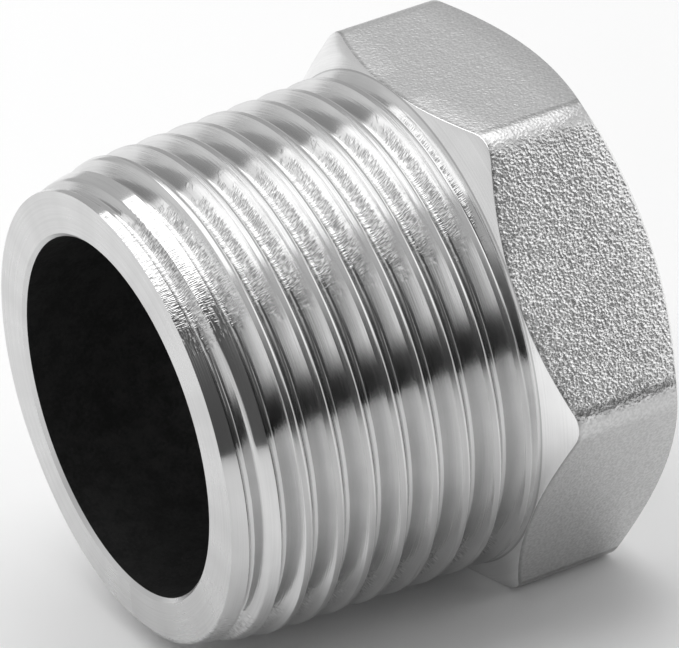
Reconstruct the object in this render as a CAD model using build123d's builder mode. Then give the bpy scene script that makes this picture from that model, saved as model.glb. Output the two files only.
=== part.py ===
"""Hex bushing, 3/4 in outside thread by 1/2 in inside thread, cast and then turned in one piece.

A hollow reducing plug for pipework. The outside of the shank carries a right-hand taper
pipe thread, the hexagonal head behind it takes a wrench, and the smaller parallel pipe
thread starts at the head's open end. That inside thread is fine and hidden in the bore, so
here it is the plain bore that the tap would follow. The bushing lies on one of its six
flats, with its axis along X, the threaded shank towards -X and the open hexagonal end
towards +X. The origin is the point on the supporting surface under the middle of the
bushing's length. Millimetres throughout.
"""
import os
from math import atan, ceil, cos, degrees, radians, tan

from build123d import *

# Whole bushing
overall_length = 26.0
across_flats = 27.0
corner_radius = 1.8  # rounding of the six cast corners

# Pipe thread form of the outside thread
threads_per_inch = 14
flank_angle = 27.5  # each flank leans this far from square to the axis
crest_flat = 0.45
root_flat = 0.40
diameter_taper = 1 / 16  # the thread narrows by this much for each unit of length

# Outside thread on the shank, standard 3/4 in size
male_gauge_diameter = 26.441  # over the crests, at the gauge plane
male_gauge_length = 9.5  # gauge plane, from the shank's end face
male_groove_offset = 0.82  # first full groove's middle from the end face, above the axis
lead_in_depth = 0.72  # the end face's outer edge lies this far inside the crests
lead_in_angle = 13.5  # slope of the turned lead-in behind that edge

# Shoulder and head
shoulder_distance = 17.45  # from the shank's end face to the turned shoulder
shoulder_overhang = 0.05  # how far the flat shoulder reaches past the middle of a hex flat
neck_length = 0.60  # sloping corner between the last groove and the shoulder
neck_sink = 0.05  # how far the neck starts below the bottom of the groove
front_cone_angle = 33.0  # turned cone from the shoulder out to the corners
rear_face_diameter = 25.4
rear_cone_angle = 30.0

# Bore and inside thread, standard 1/2 in size
relief_wall = 2.25  # metal between the shank's plain bore and the bottom of the first groove
relief_depth = 11.0
bore_edge_break = 0.20
female_minor_diameter = 18.631  # inside the crests of the inside thread
female_major_diameter = 20.955  # over its roots
mouth_overcut = 0.25  # how much wider than the thread the countersunk mouth is, on the radius
mouth_angle = 45.0

# A cutter reaches past the surface it cuts by this much, so no two faces coincide
cutter_margin = 0.30

# Sizes that follow from those above
pitch = 25.4 / threads_per_inch
flank_slope = tan(radians(flank_angle))
thread_depth = (pitch - crest_flat - root_flat) / 2 / flank_slope
radius_taper = diameter_taper / 2
taper_angle = degrees(atan(radius_taper))
axis_height = across_flats / 2
male_end_radius = male_gauge_diameter / 2 - male_gauge_length * radius_taper
female_radius = female_minor_diameter / 2
rim_radius = male_end_radius - lead_in_depth
relief_radius = male_end_radius - thread_depth - relief_wall
rear_face_radius = rear_face_diameter / 2
shoulder_radius = axis_height + shoulder_overhang
mouth_radius = female_major_diameter / 2 + mouth_overcut

# Lathe profiles are drawn below the axis: first number along the axis from the shank's end
# face, second number out from the axis
end_face_x = -overall_length / 2
turning_plane = Plane(origin=(end_face_x, 0, axis_height), x_dir=(1, 0, 0), z_dir=(0, 1, 0))
bushing_axis = Axis((end_face_x, 0, axis_height), (1, 0, 0))


def square_plane(distance):
    """Plane square to the axis at a distance from the shank's end face."""
    return Plane(origin=(end_face_x + distance, 0, axis_height), x_dir=(0, 1, 0), z_dir=(1, 0, 0))


def male_crest_radius(distance):
    """Radius over the outside crests at a distance from the shank's end face."""
    return male_end_radius + distance * radius_taper


def taper_helix(start, length, start_radius):
    """Right-hand helix widening towards the head, as a wire of single turns."""
    turns = [
        Helix(
            pitch / cos(radians(taper_angle)),
            pitch,
            start_radius + turn * pitch * radius_taper,
            center=(end_face_x + start + turn * pitch, 0, axis_height),
            direction=(1, 0, 0),
            cone_angle=taper_angle,
            mode=Mode.PRIVATE,
        )
        for turn in range(ceil(length / pitch))
    ]
    return Wire(turns)


# Shank: a tapered blank with its lead-in. It reaches a neck's length into the head.
shank_end = shoulder_distance + neck_length
lead_in_length = lead_in_depth / (tan(radians(lead_in_angle)) - radius_taper)
with BuildPart() as shank:
    with BuildSketch(turning_plane):
        with BuildLine():
            Polyline(
                (0, 0),
                (0, rim_radius),
                (lead_in_length, male_crest_radius(lead_in_length)),
                (shank_end, male_crest_radius(shank_end)),
                (shank_end, 0),
                close=True,
            )
        make_face()
    revolve(axis=bushing_axis)

# Outside groove: one helix from before the end face to past the shoulder, so that the
# thread enters at the end face and runs out against the shoulder
groove_mouth = root_flat / 2 + (thread_depth + cutter_margin) * flank_slope
male_start = male_groove_offset - pitch
male_helix = taper_helix(male_start, shank_end - male_start, male_crest_radius(male_start) - thread_depth)
with BuildPart() as male_groove:
    with BuildSketch(Plane(origin=male_helix @ 0, x_dir=(0, 0, 1), z_dir=male_helix % 0)):
        with BuildLine():
            Polyline(
                (0, root_flat / 2),
                (thread_depth + cutter_margin, groove_mouth),
                (thread_depth + cutter_margin, -groove_mouth),
                (0, -root_flat / 2),
                close=True,
            )
        make_face()
    sweep(path=male_helix, is_frenet=True)

# Neck: the sloping corner that the turning tool leaves between the last groove and the shoulder
neck_start = shoulder_distance - neck_length
neck_root = male_crest_radius(neck_start) - thread_depth - neck_sink
with BuildPart() as neck:
    with BuildSketch(turning_plane):
        with BuildLine():
            Polyline(
                (neck_start, neck_root),
                (shoulder_distance, neck_root + neck_length),
                (shank_end, neck_root + neck_length),
                (shank_end, neck_root - thread_depth),
                (neck_start, neck_root - thread_depth),
                close=True,
            )
        make_face()
    revolve(axis=bushing_axis)

# Head: a hexagonal cast block with rounded corners, coned by turning at both ends
head_length = overall_length - shoulder_distance
turning_reach = across_flats / 2 / cos(radians(30)) + cutter_margin  # clears the hex corners
front_cone_run = (turning_reach - shoulder_radius) * tan(radians(front_cone_angle))
rear_cone_run = (turning_reach - rear_face_radius) * tan(radians(rear_cone_angle))
with BuildPart() as head:
    with BuildSketch(square_plane(shoulder_distance)):
        RegularPolygon(radius=across_flats / 2, side_count=6, major_radius=False)
    extrude(amount=head_length)
    fillet(head.edges().filter_by(Axis.X), radius=corner_radius)
    with BuildSketch(turning_plane):
        with BuildLine():
            Polyline(
                (shoulder_distance, 0),
                (shoulder_distance, shoulder_radius),
                (shoulder_distance + front_cone_run, turning_reach),
                (overall_length - rear_cone_run, turning_reach),
                (overall_length, rear_face_radius),
                (overall_length, 0),
                close=True,
            )
        make_face()
    revolve(axis=bushing_axis, mode=Mode.INTERSECT)

# The bushing is one piece: shank, neck and head together, then bored right through
mouth_run = (mouth_radius - female_radius) / tan(radians(mouth_angle))
mouth_start = overall_length - mouth_run
with BuildPart() as hex_bushing:
    add(shank.part)
    add(male_groove.part, mode=Mode.SUBTRACT)
    add(neck.part)
    add(head.part)
    with BuildSketch(turning_plane):
        with BuildLine():
            Polyline(
                (-cutter_margin, 0),
                (-cutter_margin, relief_radius + bore_edge_break + cutter_margin),
                (bore_edge_break, relief_radius),
                (relief_depth, relief_radius),
                (relief_depth, female_radius),
                (mouth_start, female_radius),
                (overall_length, mouth_radius),
                (overall_length + cutter_margin, mouth_radius + cutter_margin),
                (overall_length + cutter_margin, 0),
                close=True,
            )
        make_face()
    revolve(axis=bushing_axis, mode=Mode.SUBTRACT)
hex_bushing.part.label = "hex_bushing"

os.makedirs("parts", exist_ok=True)
export_step(hex_bushing.part, "parts/hex_bushing.step")
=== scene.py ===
# %% [markdown]
# # A stainless hex bushing
#
# The real thing is one piece of cast stainless steel, 26 mm long. A lathe has cut the
# tapered pipe thread, the sloping shoulder and both end faces, and has left the six
# sides of the head as they came from the blasting cabinet. This lesson loads the
# measured solid as a frame and builds a finer skin around it.

# %% Load the frame
import math
import bpy
import bmesh
import numpy as np
from mathutils import Matrix, Vector


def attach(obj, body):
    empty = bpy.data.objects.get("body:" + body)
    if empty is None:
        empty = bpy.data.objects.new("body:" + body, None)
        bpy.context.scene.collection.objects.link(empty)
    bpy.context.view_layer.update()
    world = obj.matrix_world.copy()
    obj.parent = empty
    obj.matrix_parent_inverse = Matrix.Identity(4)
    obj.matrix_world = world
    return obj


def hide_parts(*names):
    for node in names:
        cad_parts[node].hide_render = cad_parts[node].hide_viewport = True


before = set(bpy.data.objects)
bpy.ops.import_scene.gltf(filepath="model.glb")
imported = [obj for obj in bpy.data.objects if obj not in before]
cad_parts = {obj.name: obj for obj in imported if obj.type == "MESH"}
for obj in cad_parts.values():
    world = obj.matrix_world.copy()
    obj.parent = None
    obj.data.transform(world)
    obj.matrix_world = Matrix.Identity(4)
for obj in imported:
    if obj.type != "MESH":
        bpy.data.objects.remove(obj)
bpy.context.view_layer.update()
print("frame nodes:", sorted(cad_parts))

# %% [markdown]
# ## Camera
#
# The photograph was taken with a long lens from the shank's side, looking about thirty
# degrees downwards. The camera is set by its place and by the three directions of its
# own axes, because the picture is also turned a few degrees about the line of sight.

# %% Camera
IMAGE_WIDTH = 679  # pixels
FOCAL_PIXELS = 7016.7  # the focal length, in the same pixels
CAMERA_PLACE = (-0.1480, -0.2800, 0.1948)  # metres

camera_data = bpy.data.cameras.new("camera")
camera_data.sensor_fit = "HORIZONTAL"
camera_data.sensor_width = 36.0
camera_data.lens = FOCAL_PIXELS / IMAGE_WIDTH * camera_data.sensor_width
camera_data.clip_start = 0.01
camera = bpy.data.objects.new("camera", camera_data)
bpy.context.scene.collection.objects.link(camera)
rightwards = Vector((0.8629, -0.5009, -0.0672)).normalized()
upwards = Vector((0.2993, 0.3994, 0.8665)).normalized()
backwards = rightwards.cross(upwards).normalized()
camera.matrix_world = Matrix.Translation(CAMERA_PLACE) @ Matrix(
    (rightwards, upwards, backwards)
).transposed().to_4x4()
bpy.context.scene.camera = camera
print("lens", round(camera_data.lens, 1), "mm")

# %% [markdown]
# ## Sizes
#
# These are the solid's own sizes, in millimetres, so that the skin stays inside the
# solid's box. Only the flats of the outside thread are narrower here and the neck is
# longer, as the photograph shows them. Distances along the bushing are counted from the
# end face of the shank towards the head, and radii from the axis.

# %% Sizes of the whole and of the outside thread
MM = 0.001
LENGTH = 26.0
MIDDLE = LENGTH / 2  # the frame's origin lies under this distance
ACROSS_FLATS = 27.0
AXIS_HEIGHT = ACROSS_FLATS / 2
CORNER_RADIUS = 1.8

THREADS_PER_INCH = 14
PITCH = 25.4 / THREADS_PER_INCH
FLANK_SLOPE = math.tan(math.radians(27.5))
CREST_FLAT, ROOT_FLAT = 0.40, 0.30
THREAD_DEPTH = (PITCH - CREST_FLAT - ROOT_FLAT) / 2 / FLANK_SLOPE
TAPER = 1 / 32  # on the radius
GAUGE_DIAMETER, GAUGE_LENGTH = 26.441, 9.5
END_RADIUS = GAUGE_DIAMETER / 2 - GAUGE_LENGTH * TAPER  # over the crests, at the end face
GROOVE_OFFSET = 0.82
GROOVES = range(-1, 10)
EDGE_ROUNDING, ROOT_ROUNDING = 0.15, 0.14

LEAD_DEPTH = 0.72
LEAD_SLOPE = math.tan(math.radians(13.5))
LEAD_LENGTH = LEAD_DEPTH / (LEAD_SLOPE - TAPER)
RIM_RADIUS = END_RADIUS - LEAD_DEPTH
print("thread depth", round(THREAD_DEPTH, 3), "mm, lead-in", round(LEAD_LENGTH, 2), "mm")

# %% Sizes of the head and the bore
SHOULDER = 17.45
SHOULDER_RADIUS = AXIS_HEIGHT + 0.05
NECK, NECK_SINK = 1.00, 0.02
FRONT_CONE = math.tan(math.radians(33))
REAR_CONE = math.tan(math.radians(30))
REAR_RADIUS = 12.7
HEAD_ROUNDING = 0.05

RELIEF_RADIUS, RELIEF_DEPTH, EDGE_BREAK = 9.748, 11.0, 0.20
MINOR_RADIUS, MAJOR_RADIUS = 18.631 / 2, 20.955 / 2
INNER_CREST = 0.30
INNER_GROOVES = range(9, -2, -1)
MOUTH_RADIUS = MAJOR_RADIUS + 0.25  # countersunk at 45 degrees
MOUTH_START = LENGTH - (MOUTH_RADIUS - MINOR_RADIUS)
print("inside thread", round(LENGTH - RELIEF_DEPTH, 1), "mm long")

# %% [markdown]
# ## From profiles to a skin
#
# A turned part is a profile swept round an axis, and a thread is the same profile slid
# along by one pitch in each turn. So each line of the skin is a pair of lists, the
# distance along the axis and the radius, with one value for each angle round it.
# Neighbouring lines are joined by strips of quads. This keeps every edge of the thread
# clean and unbroken, which a boolean cut would not.

# %% Helpers for profiles
STEPS = 360
turn = np.linspace(0.0, 1.0, STEPS + 1)
angle = turn * 2 * math.pi
FINE_POINTS = (0.0, 0.25, 0.5, 0.75, 1.0)


def flat_line(distance, radius):
    """A line of the skin whose distance and radius may each be one number or a list."""
    return distance + 0 * turn, radius + 0 * turn


def between(a, b, share):
    """The line a share of the way from line a to line b."""
    return a[0] + (b[0] - a[0]) * share, a[1] + (b[1] - a[1]) * share


def stacked(lines):
    """All distances and all radii of the lines, each as one table."""
    return np.array([line[0] for line in lines]), np.array([line[1] for line in lines])


def rounded(lines, corner, reach, points=(0.0, 0.5, 1.0)):
    """Lines on a curve that rounds off line number corner of the list."""
    before, here, after = lines[corner - 1], lines[corner], lines[corner + 1]
    ends = []
    for other in (before, after):
        gap = np.hypot(other[0] - here[0], other[1] - here[1])
        # At most 0.45 of the way to the next corner, so that two curves never meet
        share = np.minimum(reach, 0.45 * gap) / np.maximum(gap, 1e-9)
        ends.append(between(here, other, share))
    return [
        between(between(ends[0], here, point), between(here, ends[1], point), point)
        for point in points
    ]


def soften(lines, reaches):
    """The list with each corner rounded by its own reach, where 0 leaves it sharp."""
    out = []
    for number, line in enumerate(lines):
        reach = reaches[number]
        out += rounded(lines, number, reach, FINE_POINTS) if reach else [line]
    return out


print("each line has", STEPS, "steps")

# %% [markdown]
# A piece gets its map as it is made: once round the axis is the map's width, and the
# way along the profile is its height. Corners of no size, where a groove is cut off, are
# merged, and edges of more than 38 degrees stay sharp.

# %% Helper that makes a skin
MERGE_GAP = 0.0005  # millimetres
SHARP_ANGLE = 38
FACE_WEIGHT = 80


def make_skin(name, lines, zones, materials):
    """Joins lines into a mesh piece. zones gives each strip between two lines its material."""
    along, out = stacked(lines)
    spots = np.stack(
        [along - MIDDLE, -out * np.sin(angle), AXIS_HEIGHT + out * np.cos(angle)], axis=2
    )
    lengths = np.hypot(np.diff(along, axis=0), np.diff(out, axis=0)).mean(axis=1)
    reach = np.concatenate([[0], np.cumsum(lengths)]) / lengths.sum()
    quads, which, maps = [], [], []
    for i in range(len(lines) - 1):
        low, high = reach[i], reach[i + 1]
        for j in range(STEPS):
            a, b = i * (STEPS + 1) + j, (i + 1) * (STEPS + 1) + j
            quads.append((a, a + 1, b + 1, b))
            which.append(zones[i])
            maps += [(turn[j], low), (turn[j + 1], low), (turn[j + 1], high), (turn[j], high)]
    mesh = bpy.data.meshes.new(name)
    mesh.from_pydata((spots.reshape(-1, 3) * MM).tolist(), [], quads)
    mesh.polygons.foreach_set("material_index", which)
    layer = mesh.uv_layers.new(name="OFBake")
    layer.data.foreach_set("uv", np.array(maps, dtype=np.float32).ravel())
    for material in materials:
        mesh.materials.append(material)
    work = bmesh.new()
    work.from_mesh(mesh)
    bmesh.ops.remove_doubles(work, verts=work.verts, dist=MERGE_GAP * MM)
    bmesh.ops.dissolve_degenerate(work, edges=work.edges, dist=MERGE_GAP * MM)
    work.to_mesh(mesh)
    work.free()
    mesh.shade_smooth()
    mesh.set_sharp_from_angle(angle=math.radians(SHARP_ANGLE))
    piece = bpy.data.objects.new(name, mesh)
    bpy.context.scene.collection.objects.link(piece)
    even = piece.modifiers.new("even shading", "WEIGHTED_NORMAL")
    even.keep_sharp = True
    even.weight = FACE_WEIGHT
    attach(piece, "root")
    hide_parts("hex_bushing")
    print(name, len(mesh.vertices), "vertices,", len(mesh.polygons), "faces")


# %% [markdown]
# ## Node helpers
#
# Node trees get long when every socket is set by hand. These short functions each make
# one node, feed it with numbers or links, and give back the socket that it puts out.

# %% Groups and links
NUMBER, VECTOR = "NodeSocketFloat", "NodeSocketVector"


def new_group(name, ins, outs):
    """A shader node group with named inputs and outputs. A vector input has no value."""
    group = bpy.data.node_groups.new(name, "ShaderNodeTree")
    for label, kind, value in ins:
        socket = group.interface.new_socket(label, in_out="INPUT", socket_type=kind)
        if value is not None:
            socket.default_value = value
    for label, kind in outs:
        group.interface.new_socket(label, in_out="OUTPUT", socket_type=kind)
    return group, group.nodes.new("NodeGroupInput"), group.nodes.new("NodeGroupOutput")


def feed(tree, node, values):
    """Sets or links the numbered or named inputs of a node."""
    for key, value in values.items():
        if isinstance(value, bpy.types.NodeSocket):
            tree.links.new(value, node.inputs[key])
        else:
            node.inputs[key].default_value = value


def group_node(tree, group, values=None):
    """A group placed in a material, with its own values."""
    node = tree.nodes.new("ShaderNodeGroup")
    node.node_tree = group
    feed(tree, node, values or {})
    return node


def picked(node, *names):
    """Some of a node's outputs, by name."""
    return [node.outputs[name] for name in names]


print("helpers for groups are ready")

# %% Values
def maths(tree, operation, first, second=0.0, third=0.0):
    """One Math node, as the socket that it puts out."""
    node = tree.nodes.new("ShaderNodeMath")
    node.operation = operation
    feed(tree, node, {0: first, 1: second, 2: third})
    return node.outputs[0]


def plus(tree, first, second):
    """The sum of two values."""
    return maths(tree, "ADD", first, second)


def minus(tree, first, second):
    """The first value less the second."""
    return maths(tree, "SUBTRACT", first, second)


def times(tree, first, second):
    """The product of two values."""
    return maths(tree, "MULTIPLY", first, second)


def times_plus(tree, value, factor, added):
    """A value times a factor, with something added."""
    return maths(tree, "MULTIPLY_ADD", value, factor, added)


def spread(tree, value, low, high, to_low=0.0, to_high=1.0):
    """A value brought smoothly from one range to another."""
    node = tree.nodes.new("ShaderNodeMapRange")
    node.interpolation_type = "SMOOTHSTEP"
    feed(tree, node, {0: value, 1: low, 2: high, 3: to_low, 4: to_high})
    return node.outputs[0]


def from_nearest(tree, degrees, middle, step):
    """How many degrees an angle lies from a middle, or from its repeats a step apart."""
    gap = maths(tree, "WRAP", minus(tree, degrees, middle), step / 2, -step / 2)
    return maths(tree, "ABSOLUTE", gap)


print("helpers for values are ready")

# %% Textures, colours and bumps
def noise(tree, vector, scale=1.0, detail=2.0, rough=0.5):
    """A Noise Texture's value at a vector in millimetres."""
    node = tree.nodes.new("ShaderNodeTexNoise")
    feed(tree, node, {"Vector": vector, "Scale": scale, "Detail": detail, "Roughness": rough})
    return node.outputs[0]


def vector_of(tree, x, y, z):
    """Three values as one vector."""
    node = tree.nodes.new("ShaderNodeCombineXYZ")
    feed(tree, node, {0: x, 1: y, 2: z})
    return node.outputs[0]


def grey(level):
    """A neutral colour of one level."""
    return (level, level, level, 1.0)


def blended(tree, share, first, second):
    """A colour that goes from one to another with a share."""
    node = tree.nodes.new("ShaderNodeMix")
    node.data_type = "RGBA"
    feed(tree, node, {0: share, 6: first, 7: second})
    return node.outputs[2]


def shaded(tree, share, dark, light):
    """A grey that goes from one level to another with a share."""
    return blended(tree, share, grey(dark), grey(light))


def bumped(tree, height, distance, under=None):
    """A Bump node's normal for a height, with a distance in millimetres."""
    node = tree.nodes.new("ShaderNodeBump")
    feed(tree, node, {"Strength": 1.0, "Distance": distance * MM, "Height": height})
    if under is not None:
        tree.links.new(under, node.inputs["Normal"])
    return node.outputs[0]


def new_finish(name):
    """A material with its shader, ready for its own nodes."""
    material = bpy.data.materials.new(name)
    material.use_nodes = True
    return material, material.node_tree, material.node_tree.nodes["Principled BSDF"]


print("helpers for looks are ready")

# %% [markdown]
# ## Lathe coordinates for the finishes
#
# Everything a lathe does to a surface runs round its axis. One node group turns a point
# on the bushing into the distance along the axis, the distance round it and the radius,
# all in millimetres, and every finish reads its pattern from those.

# %% Lathe coordinates
lathe_group, group_in, group_out = new_group(
    "lathe coordinates",
    [("Axis Height", NUMBER, AXIS_HEIGHT)],
    [("Place", VECTOR), ("Along", NUMBER), ("Around", NUMBER), ("Radius", NUMBER)],
)
tree = lathe_group
scaled = tree.nodes.new("ShaderNodeVectorMath")
scaled.operation = "SCALE"
feed(tree, scaled, {0: tree.nodes.new("ShaderNodeTexCoord").outputs["Object"], "Scale": 1 / MM})
split = tree.nodes.new("ShaderNodeSeparateXYZ")
feed(tree, split, {0: scaled.outputs[0]})
lengthwise, across, upright = split.outputs
height = minus(tree, upright, group_in.outputs["Axis Height"])
squares = plus(tree, times(tree, height, height), times(tree, across, across))
feed(tree, group_out, {
    "Place": scaled.outputs[0],
    "Along": lengthwise,
    "Around": times(tree, maths(tree, "ARCTAN2", across, height), AXIS_HEIGHT),
    "Radius": maths(tree, "SQRT", squares),
})
AROUND_TO_DEGREES = -math.degrees(1 / AXIS_HEIGHT)  # 0 at the top, growing towards the front
print("lathe coordinates:", len(tree.nodes), "nodes")

# %% [markdown]
# ## Marks that a lathe tool leaves
#
# The threading tool leaves two kinds of mark. Fine lines run round the part, about
# eight to each millimetre. Where the tool shivered, in three places round the part,
# there are short strokes across them, in the grooves and on the cut-down first lands.
# The group also says where a point lies between crest and root. The thread, the cone
# and the end face all use it, and the thread alone takes the shiver.

# %% Tool marks: the lines and the strokes
marks_group, group_in, group_out = new_group(
    "tool marks",
    [
        ("Along", NUMBER, 0.0),
        ("Around", NUMBER, 0.0),
        ("Radius", NUMBER, 0.0),
        ("Line Spacing", NUMBER, 0.12),
        ("Chatter Spacing", NUMBER, 0.062),
        ("Shiver Angle", NUMBER, 27.0),  # degrees from the top to the first patch
        ("Shiver Reach", NUMBER, 21.0),  # degrees to each side of a patch's middle
    ],
    [
        ("Lines", NUMBER),
        ("Chatter", NUMBER),
        ("Shiver", NUMBER),
        ("Patches", NUMBER),
        ("Crest", NUMBER),
        ("Groove", NUMBER),
    ],
)
tree = marks_group
along, around, radius, line_spacing, chatter_spacing, shiver_angle, shiver_reach = (
    group_in.outputs[:7])
LINE_DRIFT = 0.08  # how fast a line changes along its own length
STROKE_CHANGE = 2.1  # the strokes are about half a millimetre long
profile_way = plus(tree, along, radius)
# The third number of each spot keeps one noise apart from the next
line_spot = vector_of(
    tree, times(tree, profile_way, maths(tree, "DIVIDE", 1.0, line_spacing)),
    times(tree, around, LINE_DRIFT), 0.0)
chatter_spot = vector_of(
    tree, times(tree, around, maths(tree, "DIVIDE", 1.0, chatter_spacing)),
    times(tree, profile_way, STROKE_CHANGE), 3.0)
patch_spot = vector_of(tree, times(tree, around, 0.30), times(tree, along, 0.45), 7.0)
feed(tree, group_out, {
    "Lines": noise(tree, line_spot, detail=3.0, rough=0.6),
    "Chatter": noise(tree, chatter_spot, detail=0.6),
    "Patches": noise(tree, patch_spot),
})
print("lines and strokes:", len(tree.nodes), "nodes so far")

# %% Tool marks: where the tool shivered, and the height between root and crest
PATCH_STEP = 120.0  # degrees from one patch of chatter to the next
RAGGED = 26.0  # degrees that the patches' ends wander
LEAD_EDGE = (2.4 - MIDDLE, 3.2 - MIDDLE)  # the first lands end about here
SHIVER_DEPTH = (0.10, 0.26)  # chatter starts this far below the crests, first lands and others
ragged_spot = vector_of(tree, times(tree, around, 1.1), times(tree, along, 3.0), 11.0)
ragged = times(tree, noise(tree, ragged_spot, rough=0.6), RAGGED)
degrees = times_plus(tree, around, AROUND_TO_DEGREES, ragged)
from_patch = from_nearest(tree, degrees, plus(tree, shiver_angle, RAGGED / 2), PATCH_STEP)
in_patch = spread(tree, from_patch, times(tree, shiver_reach, 0.6), shiver_reach, 1.0, 0.0)
crest_here = times_plus(tree, along, TAPER, END_RADIUS + MIDDLE * TAPER)
depth_here = minus(tree, crest_here, radius)  # millimetres below the crests
shallow = spread(tree, along, *LEAD_EDGE, *SHIVER_DEPTH)
deep = spread(tree, minus(tree, depth_here, shallow), 0.0, 0.25)
feed(tree, group_out, {
    "Shiver": times(tree, in_patch, deep),
    "Crest": spread(tree, depth_here, 0.001, 0.010, 1.0, 0.0),
    "Groove": spread(tree, depth_here, 0.05, 0.80),
})
print("tool marks:", len(tree.nodes), "nodes")

# %% [markdown]
# ## Turned steel
#
# Freshly turned stainless steel is a dim mirror. The Principled shader is fully
# metallic with a light neutral colour, and its Roughness and Normal come from the tool
# marks, so that reflections are drawn out along the lines. The thread gets more: painted
# shade in the grooves, dark and bright strokes on the chatter that are painted shade and
# painted highlights, and a rougher strip on the crests that is painted darker as shade.

# %% Thread marks, with painted shade and painted highlights
GROOVE_SHARE, STROKE_SHARE, CREST_SHARE = 0.32, 0.62, 0.45
CHATTER_BUMP = 0.026
CREST_ROUGHNESS = 0.2


def thread_marks_and_painted_light(tree, marks, colour, roughness):
    """A turned finish with the thread's marks, painted shade and highlights: colour, roughness,
    normal.
    """
    chatter, shiver, crest, groove = picked(marks, "Chatter", "Shiver", "Crest", "Groove")
    # Painted shade and painted highlights: dark and bright strokes painted over the chatter
    # marks
    stroke_shade = times(tree, spread(tree, chatter, 0.38, 0.50, STROKE_SHARE, 0.0), shiver)
    stroke_highlights = times(tree, spread(tree, chatter, 0.50, 0.60, 0.0, STROKE_SHARE), shiver)
    # Painted shade: the crest tops are painted darker, and they are also rougher
    dull_shaded_crest = times(tree, crest, CREST_SHARE)
    # Painted shade: the grooves are painted darker the deeper they go
    hollow = times(tree, groove, GROOVE_SHARE)
    for share, level in ((hollow, 0.33), (stroke_shade, 0.26), (stroke_highlights, 0.95), (dull_shaded_crest, 0.28)):
        colour = blended(tree, share, colour, grey(level))
    roughness = times_plus(tree, dull_shaded_crest, CREST_ROUGHNESS, roughness)
    return colour, roughness, bumped(tree, times(tree, chatter, shiver), CHATTER_BUMP)


print("chatter is", CHATTER_BUMP, "mm high")

# %% Turned steel
LINE_SHARE = 0.45  # of the shade, and the wide patches give the rest


def turned_steel(name, line_bump, smooth, rough, dark, light, marks_and_painted_light=False):
    """Turned stainless steel with its own strength of marks."""
    material, tree, shader = new_finish(name)
    along, around, radius = picked(group_node(tree, lathe_group), "Along", "Around", "Radius")
    marks = group_node(
        tree, marks_group, {"Along": along, "Around": around, "Radius": radius})
    lines, patches = picked(marks, "Lines", "Patches")
    shade = plus(tree, times(tree, lines, LINE_SHARE), times(tree, patches, 1 - LINE_SHARE))
    shade = spread(tree, shade, 0.3, 0.7)
    colour = shaded(tree, shade, dark, light)
    roughness = spread(tree, shade, 0.0, 1.0, rough, smooth)
    under = None
    if marks_and_painted_light:
        colour, roughness, under = thread_marks_and_painted_light(tree, marks, colour, roughness)
    feed(tree, shader, {
        "Base Color": colour,
        "Metallic": 1.0,
        "Roughness": roughness,
        "Normal": bumped(tree, lines, line_bump, under),
    })
    print(name + ":", len(tree.nodes), "nodes")
    return material


thread_steel = turned_steel("turned thread steel", 0.006, 0.08, 0.16, 0.66, 0.77, marks_and_painted_light=True)
# The cones' copy is painted lighter than the thread's, as painted light on the same steel
lit_cone_steel = turned_steel("turned cone steel painted lighter", 0.004, 0.14, 0.24, 0.79, 0.90)
# The end faces' copy is painted darker than the thread's, as painted shade on the same steel
shaded_face_steel = turned_steel("faced end steel painted darker", 0.002, 0.26, 0.36, 0.60, 0.69)

# %% [markdown]
# ## Blasted steel
#
# The flats of the head were blasted with grit. Under a lens they are a field of small
# pits with bright rims, about a sixth of a millimetre across, and no direction at all.
# Two sizes of noise and a Voronoi pattern give the pits, as bump and as colour. The
# photograph shows one coarse side between two smoother ones, so every second side is
# coarse, and these sides are also painted much lighter, as painted light. A thin line of
# painted shade follows one corner of each side and the edge of the front cone.

# %% Grit: the pits
grit_group, group_in, group_out = new_group(
    "grit",
    [
        ("Place", VECTOR, None),
        ("Along", NUMBER, 0.0),
        ("Around", NUMBER, 0.0),
        ("Radius", NUMBER, 0.0),
        ("Grains", NUMBER, 6.4),
    ],
    [("Height", NUMBER), ("Shade", NUMBER), ("Coarse Lit Side", NUMBER), ("Edge Shade", NUMBER)],
)
tree = grit_group
place, along, around, radius, grains = group_in.outputs[:5]
cells = tree.nodes.new("ShaderNodeTexVoronoi")
cells.feature = "SMOOTH_F1"
feed(tree, cells, {"Vector": place, "Scale": grains, "Smoothness": 0.6})
fine = noise(tree, place, grains, detail=1.0)
wide = noise(tree, place, times(tree, grains, 0.35))
pits = plus(tree, times(tree, fine, 0.8), times(tree, wide, 0.9))
feed(tree, group_out, {
    "Height": plus(tree, times(tree, cells.outputs[0], 0.8), pits),
    "Shade": fine,
})
print("pits:", len(tree.nodes), "nodes so far")

# %% Grit: the coarse sides and the dark edges
# Every second side has coarser pits, and its colour is painted much lighter as painted light
COARSE_LIT_SIDE, SIDE_STEP = 60.0, 120.0
COARSE_LIT_REACH, REACH_WANDER = 24.0, 5.0  # degrees to each side of a coarse side's middle
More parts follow.
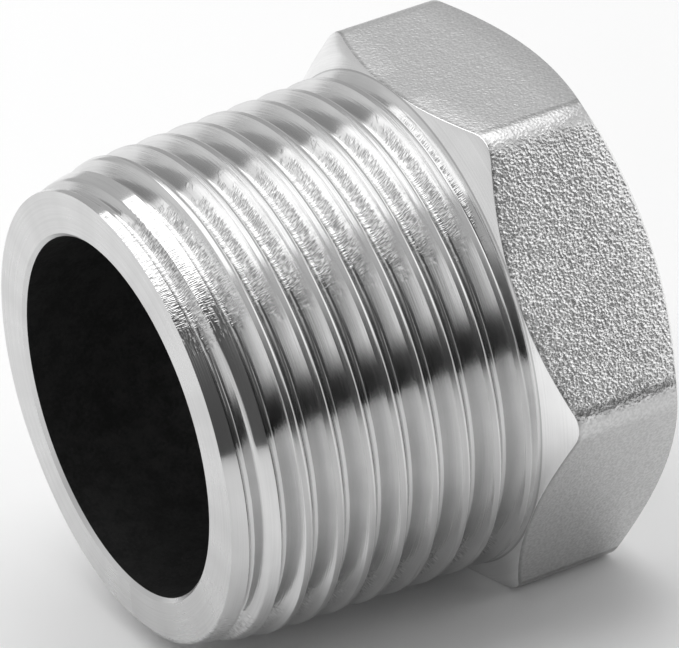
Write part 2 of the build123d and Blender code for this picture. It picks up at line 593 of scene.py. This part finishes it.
# Painted shade: a thin dark line painted along one corner of each side and the front cone's
# edge
EDGE_ANGLE, EDGE_WANDER = 27.8, 1.2  # the dark corner line, from the middle of each side
degrees = times(tree, around, AROUND_TO_DEGREES)
ragged = noise(tree, place, 1.6, detail=3.0, rough=0.6)
from_side = from_nearest(tree, degrees, COARSE_LIT_SIDE, SIDE_STEP)
past_reach = minus(tree, from_side, times_plus(tree, ragged, REACH_WANDER, COARSE_LIT_REACH))
side_spot = maths(tree, "WRAP", times_plus(tree, ragged, EDGE_WANDER, degrees), 60.0, 0.0)
corner_gap = maths(tree, "ABSOLUTE", minus(tree, side_spot, EDGE_ANGLE))
cone_start = SHOULDER - MIDDLE - SHOULDER_RADIUS * FRONT_CONE
cone_gap = minus(tree, along, times_plus(tree, radius, FRONT_CONE, cone_start))
edge_shade_line = maths(tree, "MAXIMUM", spread(tree, corner_gap, 0.2, 1.1, 1.0, 0.0),
                  spread(tree, cone_gap, 0.05, 0.28, 1.0, 0.0))
feed(tree, group_out, {
    "Coarse Lit Side": spread(tree, past_reach, -2.0, 3.0, 1.0, 0.0),
    "Edge Shade": times(tree, edge_shade_line, spread(tree, ragged, 0.25, 0.6, 0.35, 1.0)),
})
print("grit:", len(tree.nodes), "nodes")

# %% Blasted steel
# The coarse sides' levels are painted light: the same steel made far lighter than the others
SMOOTH_LEVELS, COARSE_LIT_LEVELS = (0.54, 0.65), (0.84, 0.97)
# The level and share of the painted shade line on the edges
EDGE_SHADE_LEVEL, EDGE_SHADE_SHARE = 0.22, 0.6
PIT_BUMP = 0.070
SMOOTH_PITS, COARSE_PITS = 0.25, 0.62  # a share on every side, and one added on a coarse side

blasted_steel, tree, shader = new_finish("blasted steel")
place, along, around, radius = picked(
    group_node(tree, lathe_group), "Place", "Along", "Around", "Radius")
grit = group_node(tree, grit_group, {
    "Place": place, "Along": along, "Around": around, "Radius": radius})
height, fine, coarse_lit_side, edge = picked(grit, "Height", "Shade", "Coarse Lit Side", "Edge Shade")
shade = spread(tree, fine, 0.3, 0.7)
bare = blended(tree, coarse_lit_side, shaded(tree, shade, *SMOOTH_LEVELS),
               shaded(tree, shade, *COARSE_LIT_LEVELS))
pit_share = times_plus(tree, coarse_lit_side, COARSE_PITS, SMOOTH_PITS)
feed(tree, shader, {
    "Base Color": blended(tree, times(tree, edge, EDGE_SHADE_SHARE), bare, grey(EDGE_SHADE_LEVEL)),
    "Metallic": 1.0,
    "Roughness": times_plus(tree, shade, -0.05, times_plus(tree, coarse_lit_side, -0.06, 0.38)),
    "Normal": bumped(tree, times(tree, height, pit_share), PIT_BUMP),
})
print("blasted steel:", len(tree.nodes), "nodes")

# %% [markdown]
# ## The bore
#
# The inside was bored but not polished, and in the photograph it is almost black, with
# a faint cloudy mottling. Its colour is painted almost black as shade, with that mottling,
# and the metal is rough, so it stays dark from every side. Only the plain bore has this
# painted shade, and the inside thread is as bright as the end faces.

# %% Bore steel
shaded_bore_steel, tree, shader = new_finish("bore steel painted dark as shade")
place = group_node(tree, lathe_group).outputs["Place"]
cloud = noise(tree, place, 0.9, detail=4.0, rough=0.6)
speck = noise(tree, place, 5.0, rough=0.6)
mottle = plus(tree, times(tree, cloud, 0.65), times(tree, speck, 0.35))
feed(tree, shader, {
    # Painted shade: the bore's colour is painted almost black, with a faint cloudy mottle
    "Base Color": shaded(tree, spread(tree, mottle, 0.35, 0.65), 0.012, 0.030),
    "Metallic": 0.6,
    "Roughness": spread(tree, mottle, 0.35, 0.65, 0.62, 0.50),
    "Normal": bumped(tree, mottle, 0.03),
})
print("bore steel:", len(tree.nodes), "nodes")

# %% [markdown]
# ## Outline of the hexagon
#
# Seen along the axis, the head is a hexagon with rounded corners. At each angle it has
# one radius. The shoulder needs that too, because it may not reach past a flat.

# %% Outline of the hexagon
side_angle = np.mod(np.degrees(angle) + 30, 60) - 30  # from the middle of the nearest side
to_corner = np.radians(30 - np.abs(side_angle))
corner_centre = (AXIS_HEIGHT - CORNER_RADIUS) / math.cos(math.radians(30))
on_flat = AXIS_HEIGHT / np.cos(np.radians(side_angle))
round_part = np.maximum(CORNER_RADIUS**2 - (corner_centre * np.sin(to_corner)) ** 2, 0)
on_corner = corner_centre * np.cos(to_corner) + np.sqrt(round_part)
half_flat = (AXIS_HEIGHT - CORNER_RADIUS) * math.tan(math.radians(30))
flat_ends = math.degrees(math.atan(half_flat / AXIS_HEIGHT))
hexagon = np.where(np.abs(side_angle) < flat_ends, on_flat, on_corner)
shoulder_reach = np.minimum(SHOULDER_RADIUS, hexagon)
shoulder_line = flat_line(SHOULDER, shoulder_reach)
print("over the corners", round(2 * hexagon.max(), 2), "mm")

# %% [markdown]
# ## The threaded shank
#
# A taper pipe thread has flanks of 27.5 degrees, crests that widen where the lead-in
# cone cuts them off, and a pitch of 25.4 / 14 mm. Each groove gives four corners, and a
# fifth marks where the lead-in ends.

# %% Outside thread profile
def crest_radius(distance):
    """Radius over the crests, before the lead-in is cut."""
    return END_RADIUS + distance * TAPER


def lead_radius(distance):
    """Radius of the lead-in cone."""
    return RIM_RADIUS + distance * LEAD_SLOPE


def mouth_of(root_along, root_out, side):
    """Where a flank that leaves the root towards side, -1 or +1, meets the outside."""
    rise = side / FLANK_SLOPE
    on_taper = (root_out - rise * root_along - END_RADIUS) / (TAPER - rise)
    on_lead = (root_out - rise * root_along - RIM_RADIUS) / (LEAD_SLOPE - rise)
    distance = np.where(on_taper >= LEAD_LENGTH, on_taper, on_lead)
    return distance, np.minimum(crest_radius(distance), lead_radius(distance))


lines, reaches = [], []
for groove in GROOVES:
    middle = GROOVE_OFFSET + (groove + turn) * PITCH
    bottom = crest_radius(middle) - THREAD_DEPTH
    left = middle - ROOT_FLAT / 2, bottom
    right = middle + ROOT_FLAT / 2, bottom
    left_mouth, right_mouth = mouth_of(*left, -1), mouth_of(*right, 1)
    if lines:
        kink = np.clip(LEAD_LENGTH, lines[-1][0], left_mouth[0])
        lines.append((kink, np.minimum(crest_radius(kink), lead_radius(kink))))
    else:
        lines.append((middle - PITCH, lead_radius(middle - PITCH)))
    lines += [left_mouth, left, right, right_mouth]
    reaches += [0, EDGE_ROUNDING, ROOT_ROUNDING, ROOT_ROUNDING, EDGE_ROUNDING]
lines.append((middle + PITCH, crest_radius(middle + PITCH)))
reaches.append(0)
thread_lines = soften(lines, reaches)
print("thread lines:", len(thread_lines))

# %% [markdown]
# Where a groove would pass the end face, its corners slide onto that face. At the other
# end they slide onto the neck, a hollow curve that starts a little below the last
# groove's bottom and ends along the front cone.

# %% Cut the thread off at the end face and at the neck
neck_start = SHOULDER - NECK
neck_root = crest_radius(neck_start) - THREAD_DEPTH - NECK_SINK
neck_rise = SHOULDER_RADIUS - neck_root
neck_bend = NECK / neck_rise / FRONT_CONE - 1  # makes the curve end along the cone


def neck_radius(distance):
    """The hollow curve from the bottom of the last groove out to the cone."""
    share = np.clip((distance - neck_start) / NECK, 0, 1)
    return neck_root + neck_rise * share * (1 - neck_bend + neck_bend * share)


neck_spots = np.linspace(neck_start, SHOULDER, 241)
along, out = stacked(thread_lines)
for j in range(STEPS + 1):
    x, r = along[:, j], out[:, j]
    first = int(np.argmax(x > 0))
    face_r = np.interp(0, x, r)
    under = np.nonzero(np.interp(neck_spots, x, r) <= neck_radius(neck_spots))[0]
    stop_x = neck_spots[under[0]] if len(under) else SHOULDER
    stop_r = float(np.interp(stop_x, x, r))
    past = x >= stop_x
    x[past], r[past] = stop_x, stop_r
    x[:first], r[:first] = 0, face_r
thread_lines = list(zip(along, out))
neck_lines = []
for share in (0.15, 0.3, 0.5, 0.7, 0.85):
    spot = along[-1] + (SHOULDER - along[-1]) * share
    neck_lines.append((spot, np.minimum(neck_radius(spot), shoulder_reach)))
print("neck lines:", len(neck_lines))

# %% Shank piece
face_lines = [
    flat_line(0, RELIEF_RADIUS + EDGE_BREAK),
    flat_line(0, (RELIEF_RADIUS + RIM_RADIUS) / 2),
]
shank_lines = face_lines + thread_lines + neck_lines + [shoulder_line]
zones = [0] * len(face_lines) + [1] * (len(shank_lines) - 1 - len(face_lines))
make_skin("threaded_shank", shank_lines, zones, [shaded_face_steel, thread_steel])

# %% [markdown]
# ## The hexagonal head
#
# The cone at the shoulder and the one behind are turned, so where they meet the flats
# they leave the well-known arcs. At each angle the hexagon has one radius, and the
# cones' edges follow from it. Each of those edges is rounded a little.

# %% Head
front_edge = SHOULDER + (hexagon - SHOULDER_RADIUS) * FRONT_CONE
rear_edge = LENGTH - (hexagon - REAR_RADIUS) * REAR_CONE
corners = [
    shoulder_line,
    (np.maximum(front_edge, SHOULDER), hexagon),
    (rear_edge, hexagon),
    flat_line(LENGTH, REAR_RADIUS),
    flat_line(LENGTH, MOUTH_RADIUS),
]
front_round, rear_round, rim_round = (
    rounded(corners, number, HEAD_ROUNDING) for number in (1, 2, 3))
flats = [between(front_round[-1], rear_round[0], share) for share in (0.25, 0.5, 0.75)]
cone_lines = [shoulder_line, between(shoulder_line, corners[1], 0.5)]
head_lines = cone_lines + front_round + flats + rear_round + rim_round + [corners[-1]]
# Turned up to the middle of the first rounding, then blasted to the middle of the second
zones = [0] * 3 + [1] * (len(flats) + 3)
zones += [0] * (len(head_lines) - 1 - len(zones))
make_skin("hex_head", head_lines, zones, [lit_cone_steel, blasted_steel])

# %% [markdown]
# ## The bore and its thread
#
# The smaller parallel thread is cut from the head's end as far as the plain relief bore.
# It is the same strip method with the groove turned outwards, from the mouth inwards.
# The photograph doesn't show it, so its size is that of the usual fitting of this kind.

# %% Inside thread profile
inner_flank = (MAJOR_RADIUS - MINOR_RADIUS) * FLANK_SLOPE
inner_root = (PITCH - INNER_CREST - 2 * inner_flank) / 2
lines = []
for groove in INNER_GROOVES:
    middle = RELIEF_DEPTH + (groove + turn) * PITCH
    lines += [
        flat_line(middle + inner_root + inner_flank, MINOR_RADIUS),
        flat_line(middle + inner_root, MAJOR_RADIUS),
        flat_line(middle - inner_root, MAJOR_RADIUS),
        flat_line(middle - inner_root - inner_flank, MINOR_RADIUS),
    ]
print("inside thread lines:", len(lines))

# %% Cut the inside thread off at the mouth and at the relief bore
mouth_spots = np.linspace(LENGTH, MOUTH_START, 161)
mouth_cone = MINOR_RADIUS + mouth_spots - MOUTH_START
along, out = stacked(lines)
for j in range(STEPS + 1):
    x, r = along[:, j], out[:, j]
    over = np.nonzero(np.interp(mouth_spots, x[::-1], r[::-1]) >= mouth_cone)[0]
    start_x = mouth_spots[over[0]] if len(over) else MOUTH_START
    start_r = float(np.interp(start_x, x[::-1], r[::-1]))
    end_r = float(np.interp(RELIEF_DEPTH, x[::-1], r[::-1]))
    early, late = x > start_x, x < RELIEF_DEPTH
    x[early], r[early] = start_x, start_r
    x[late], r[late] = RELIEF_DEPTH, end_r
print("inside thread starts at", round(float(along[0].max()), 2), "mm")

# %% Bore piece
relief_lines = [
    flat_line(RELIEF_DEPTH, RELIEF_RADIUS),
    flat_line(RELIEF_DEPTH / 2, RELIEF_RADIUS),
    flat_line(EDGE_BREAK, RELIEF_RADIUS),
    flat_line(0, RELIEF_RADIUS + EDGE_BREAK),
]
bore_lines = [flat_line(LENGTH, MOUTH_RADIUS)] + list(zip(along, out)) + relief_lines
zones = [1] * (len(along) + 1) + [0, 0, 1]
make_skin("threaded_bore", bore_lines, zones, [shaded_bore_steel, shaded_face_steel])

# %% [markdown]
# ## Table and light
#
# The table is plain and pale. A wide soft lamp hangs above, a little behind the bushing.

# %% Table
TABLE_HALF = 1.5
table_mesh = bpy.data.meshes.new("table")
table_mesh.from_pydata(
    [(-TABLE_HALF, -TABLE_HALF, 0), (TABLE_HALF, -TABLE_HALF, 0),
     (TABLE_HALF, TABLE_HALF, 0), (-TABLE_HALF, TABLE_HALF, 0)], [], [(0, 1, 2, 3)])
table = bpy.data.objects.new("table", table_mesh)
bpy.context.scene.collection.objects.link(table)
paper, tree, shader = new_finish("white paper")
feed(tree, shader, {"Base Color": grey(0.94), "Roughness": 0.9, "Specular IOR Level": 0.0})
table_mesh.materials.append(paper)
print("table", 2 * TABLE_HALF, "m wide")

# %% Lamp
LAMP_PLACE, LAMP_TARGET = (-0.09, 0.17, 0.42), (-0.09, 0.17, 0.0)
lamp_data = bpy.data.lights.new("overhead lamp", "AREA")
lamp_data.shape = "RECTANGLE"
lamp_data.size, lamp_data.size_y = 0.60, 0.52
lamp_data.energy = 1.48
lamp = bpy.data.objects.new("overhead lamp", lamp_data)
facing = (Vector(LAMP_PLACE) - Vector(LAMP_TARGET)).to_track_quat("Z", "Y")
lamp.matrix_world = Matrix.Translation(LAMP_PLACE) @ facing.to_matrix().to_4x4()
bpy.context.scene.collection.objects.link(lamp)
print("lamp", lamp_data.energy, "W")

# %% [markdown]
# ## The room
#
# Polished steel shows what stands around it. The room in front is dark near the floor,
# which draws the dark band on the thread, and the room behind is an even grey. Then come
# four softly bounded fields: a dim one at the left in front, a bright one at the right in
# front, which lights the coarse side, and pale ones low at the left and far at the right.

# %% Helpers for the room
world = bpy.data.worlds.new("room")
bpy.context.scene.world = world
world.use_nodes = True
tree = world.node_tree
split = tree.nodes.new("ShaderNodeSeparateXYZ")
feed(tree, split, {0: tree.nodes.new("ShaderNodeTexCoord").outputs["Generated"]})
side_way, back_way, up_way = split.outputs


def level_ramp(tree, value, stops):
    """A grey that follows (place, level) stops, as a socket."""
    ramp = tree.nodes.new("ShaderNodeValToRGB")
    feed(tree, ramp, {0: value})
    elements = ramp.color_ramp.elements
    while len(elements) < len(stops):
        elements.new(0.5)
    for element, (spot, level) in zip(elements, stops):
        element.position = spot
        element.color = grey(level)
    return ramp.outputs[0]


def fading(tree, value, none, full):
    """A share that goes from 0 at one value to 1 at another, above or below it."""
    if none < full:
        return spread(tree, value, none, full)
    return spread(tree, value, full, none, 1.0, 0.0)


print("room nodes so far:", len(tree.nodes))

# %% Room
front_room = level_ramp(tree, up_way, (
    (0.0, 0.005), (0.2, 0.06), (0.4, 0.13), (0.55, 0.22), (0.66, 0.45), (0.75, 0.8)))
back_room = level_ramp(tree, up_way, ((0.0, 0.66), (0.5, 0.64), (0.7, 0.66), (0.85, 0.85)))
room_level = blended(tree, fading(tree, back_way, -0.1, 0.35), front_room, back_room)

FIELDS = (  # a level, then the ways over which the field goes from nothing to full
    (0.12, ((side_way, 0.25, -0.15), (back_way, 0.0, -0.35))),
    (1.60, ((side_way, 0.46, 0.65), (up_way, 0.20, 0.42), (up_way, 0.76, 0.62),
            (back_way, 0.0, -0.20))),
    (0.85, ((side_way, -0.35, -0.65), (up_way, 0.6, 0.35))),
    (1.10, ((side_way, 0.80, 0.92),)),
)
for level, ways in FIELDS:
    share = fading(tree, *ways[0])
    for way in ways[1:]:
        share = times(tree, share, fading(tree, *way))
    room_level = blended(tree, share, room_level, grey(level))
feed(tree, tree.nodes["Background"], {"Color": room_level, "Strength": 0.88})
bpy.context.scene.view_settings.view_transform = "Standard"
print("room:", len(tree.nodes), "nodes")
